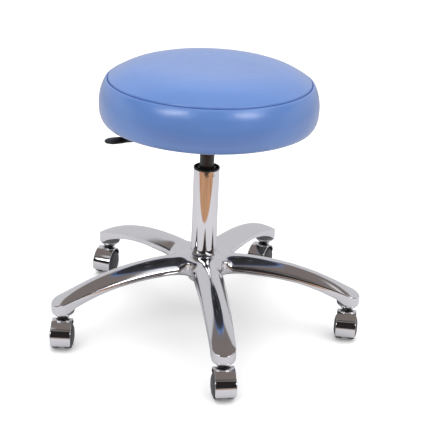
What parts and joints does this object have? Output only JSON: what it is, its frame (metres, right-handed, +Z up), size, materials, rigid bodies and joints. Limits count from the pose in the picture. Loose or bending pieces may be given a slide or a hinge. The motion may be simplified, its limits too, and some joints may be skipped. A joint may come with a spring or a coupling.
{
  "type": "dentist stool",
  "caption": "Round padded stool that turns and rises on a gas spring, on a star base with hooded twin-wheel castors.",
  "frame": {"origin": "on the floor, in the middle of the footprint's bounding rectangle; the column's axis is at x 2.21 mm, y 39.22 mm", "axes": "+Z up; -Y along the first arm of the base, from the column outwards; X across it"},
  "size_m": [0.602, 0.594, 0.523],
  "materials": {
    "polished_aluminium": "mirror polished",
    "chrome": "mirror plated",
    "steel": "machined",
    "black_steel": "satin black",
    "black_plastic": "fine satin",
    "wheel_plastic": "satin",
    "vinyl": "smooth satin vinyl",
    "foam": "open-cell foam",
    "plywood": "raw birch ply",
    "felt": "non-woven black cloth",
    "rubber": "matt"
  },
  "bodies": {
    "base": {"base_casting": "polished_aluminium", "column_tube": "chrome", "guide_bush": "black_plastic", "thrust_bearing": "steel", "rubber_buffer": "rubber", "retaining_clip": "steel", "castor_1_stem": "steel", "castor_1_grip_ring": "steel", "castor_2_stem": "steel", "castor_2_grip_ring": "steel", "castor_3_stem": "steel", "castor_3_grip_ring": "steel", "castor_4_stem": "steel", "castor_4_grip_ring": "steel", "castor_5_stem": "steel", "castor_5_grip_ring": "steel"},
    "rod": {"piston_rod": "steel", "piston": "steel"},
    "seat": {"gas_cylinder": "black_steel", "rod_seal": "rubber", "seat_socket": "black_steel", "seat_plate": "black_steel", "lever_pin": "steel", "seat_bolt_1": "steel", "seat_bolt_2": "steel", "seat_bolt_3": "steel", "seat_bolt_4": "steel", "tee_nut_1": "steel", "tee_nut_2": "steel", "tee_nut_3": "steel", "tee_nut_4": "steel", "seat_board": "plywood", "underside_cover": "felt", "seat_foam": "foam", "cover_band": "vinyl", "cover_top": "vinyl"},
    "lever": {"lever_rod": "black_steel", "lever_paddle": "black_plastic"},
    "release": {"release_pin": "steel"},
    "castor_1": {"castor_1_hood": "chrome", "castor_1_axle": "steel"},
    "castor_1_left": {"castor_1_wheel_a": "wheel_plastic"},
    "castor_1_right": {"castor_1_wheel_b": "wheel_plastic"},
    "castor_2": {"castor_2_hood": "chrome", "castor_2_axle": "steel"},
    "castor_2_left": {"castor_2_wheel_a": "wheel_plastic"},
    "castor_2_right": {"castor_2_wheel_b": "wheel_plastic"},
    "castor_3": {"castor_3_hood": "chrome", "castor_3_axle": "steel"},
    "castor_3_left": {"castor_3_wheel_a": "wheel_plastic"},
    "castor_3_right": {"castor_3_wheel_b": "wheel_plastic"},
    "castor_4": {"castor_4_hood": "chrome", "castor_4_axle": "steel"},
    "castor_4_left": {"castor_4_wheel_a": "wheel_plastic"},
    "castor_4_right": {"castor_4_wheel_b": "wheel_plastic"},
    "castor_5": {"castor_5_hood": "chrome", "castor_5_axle": "steel"},
    "castor_5_left": {"castor_5_wheel_a": "wheel_plastic"},
    "castor_5_right": {"castor_5_wheel_b": "wheel_plastic"}
  },
  "joints": [
    {"name": "seat_swivel", "type": "hinge", "parent": "base", "child": "rod", "pos_m": [0.00221, 0.03922, 0.252], "axis": [0, 0, 1], "continuous": true},
    {"name": "seat_lift", "type": "slide", "parent": "rod", "child": "seat", "axis": [0, 0, 1], "range_m": [-0.025, 0.115]},
    {"name": "lever_pivot", "type": "hinge", "parent": "seat", "child": "lever", "pos_m": [-0.03272, 0.03051, 0.392], "axis": [-0.2419, 0.9703, 0], "range_deg": [0, 4]},
    {"name": "release_press", "type": "slide", "parent": "seat", "child": "release", "axis": [0, 0, -1], "range_m": [0, 0.00252]},
    {"name": "castor_1_swivel", "type": "hinge", "parent": "base", "child": "castor_1", "pos_m": [0.00221, -0.25178, 0.05], "axis": [0, 0, 1], "continuous": true},
    {"name": "castor_1_left_roll", "type": "hinge", "parent": "castor_1", "child": "castor_1_left", "pos_m": [0.00221, -0.26828, 0.025], "axis": [1, 0, 0], "continuous": true},
    {"name": "castor_1_right_roll", "type": "hinge", "parent": "castor_1", "child": "castor_1_right", "pos_m": [0.00221, -0.26828, 0.025], "axis": [1, 0, 0], "continuous": true},
    {"name": "castor_2_swivel", "type": "hinge", "parent": "base", "child": "castor_2", "pos_m": [0.27897, -0.0507, 0.05], "axis": [0, 0, 1], "continuous": true},
    {"name": "castor_2_left_roll", "type": "hinge", "parent": "castor_2", "child": "castor_2_left", "pos_m": [0.27442, -0.06656, 0.025], "axis": [0.9613, -0.2756, 0], "continuous": true},
    {"name": "castor_2_right_roll", "type": "hinge", "parent": "castor_2", "child": "castor_2_right", "pos_m": [0.27442, -0.06656, 0.025], "axis": [0.9613, -0.2756, 0], "continuous": true},
    {"name": "castor_3_swivel", "type": "hinge", "parent": "base", "child": "castor_3", "pos_m": [0.17326, 0.27464, 0.05], "axis": [0, 0, 1], "continuous": true},
    {"name": "castor_3_left_roll", "type": "hinge", "parent": "castor_3", "child": "castor_3_left", "pos_m": [0.1631, 0.26164, 0.025], "axis": [0.788, -0.6157, 0], "continuous": true},
    {"name": "castor_3_right_roll", "type": "hinge", "parent": "castor_3", "child": "castor_3_right", "pos_m": [0.1631, 0.26164, 0.025], "axis": [0.788, -0.6157, 0], "continuous": true},
    {"name": "castor_4_swivel", "type": "hinge", "parent": "base", "child": "castor_4", "pos_m": [-0.16884, 0.27464, 0.05], "axis": [0, 0, 1], "continuous": true},
    {"name": "castor_4_left_roll", "type": "hinge", "parent": "castor_4", "child": "castor_4_left", "pos_m": [-0.17683, 0.26021, 0.025], "axis": [0.8746, -0.4848, 0], "continuous": true},
    {"name": "castor_4_right_roll", "type": "hinge", "parent": "castor_4", "child": "castor_4_right", "pos_m": [-0.17683, 0.26021, 0.025], "axis": [0.8746, -0.4848, 0], "continuous": true},
    {"name": "castor_5_swivel", "type": "hinge", "parent": "base", "child": "castor_5", "pos_m": [-0.27455, -0.0507, 0.05], "axis": [0, 0, 1], "continuous": true},
    {"name": "castor_5_left_roll", "type": "hinge", "parent": "castor_5", "child": "castor_5_left", "pos_m": [-0.27713, -0.067, 0.025], "axis": [0.9877, -0.1564, 0], "continuous": true},
    {"name": "castor_5_right_roll", "type": "hinge", "parent": "castor_5", "child": "castor_5_right", "pos_m": [-0.27713, -0.067, 0.025], "axis": [0.9877, -0.1564, 0], "continuous": true}
  ],
  "couplings": [
    {"joint": "release_press", "follows": "lever_pivot", "m_per_rad": 0.036}
  ]
}
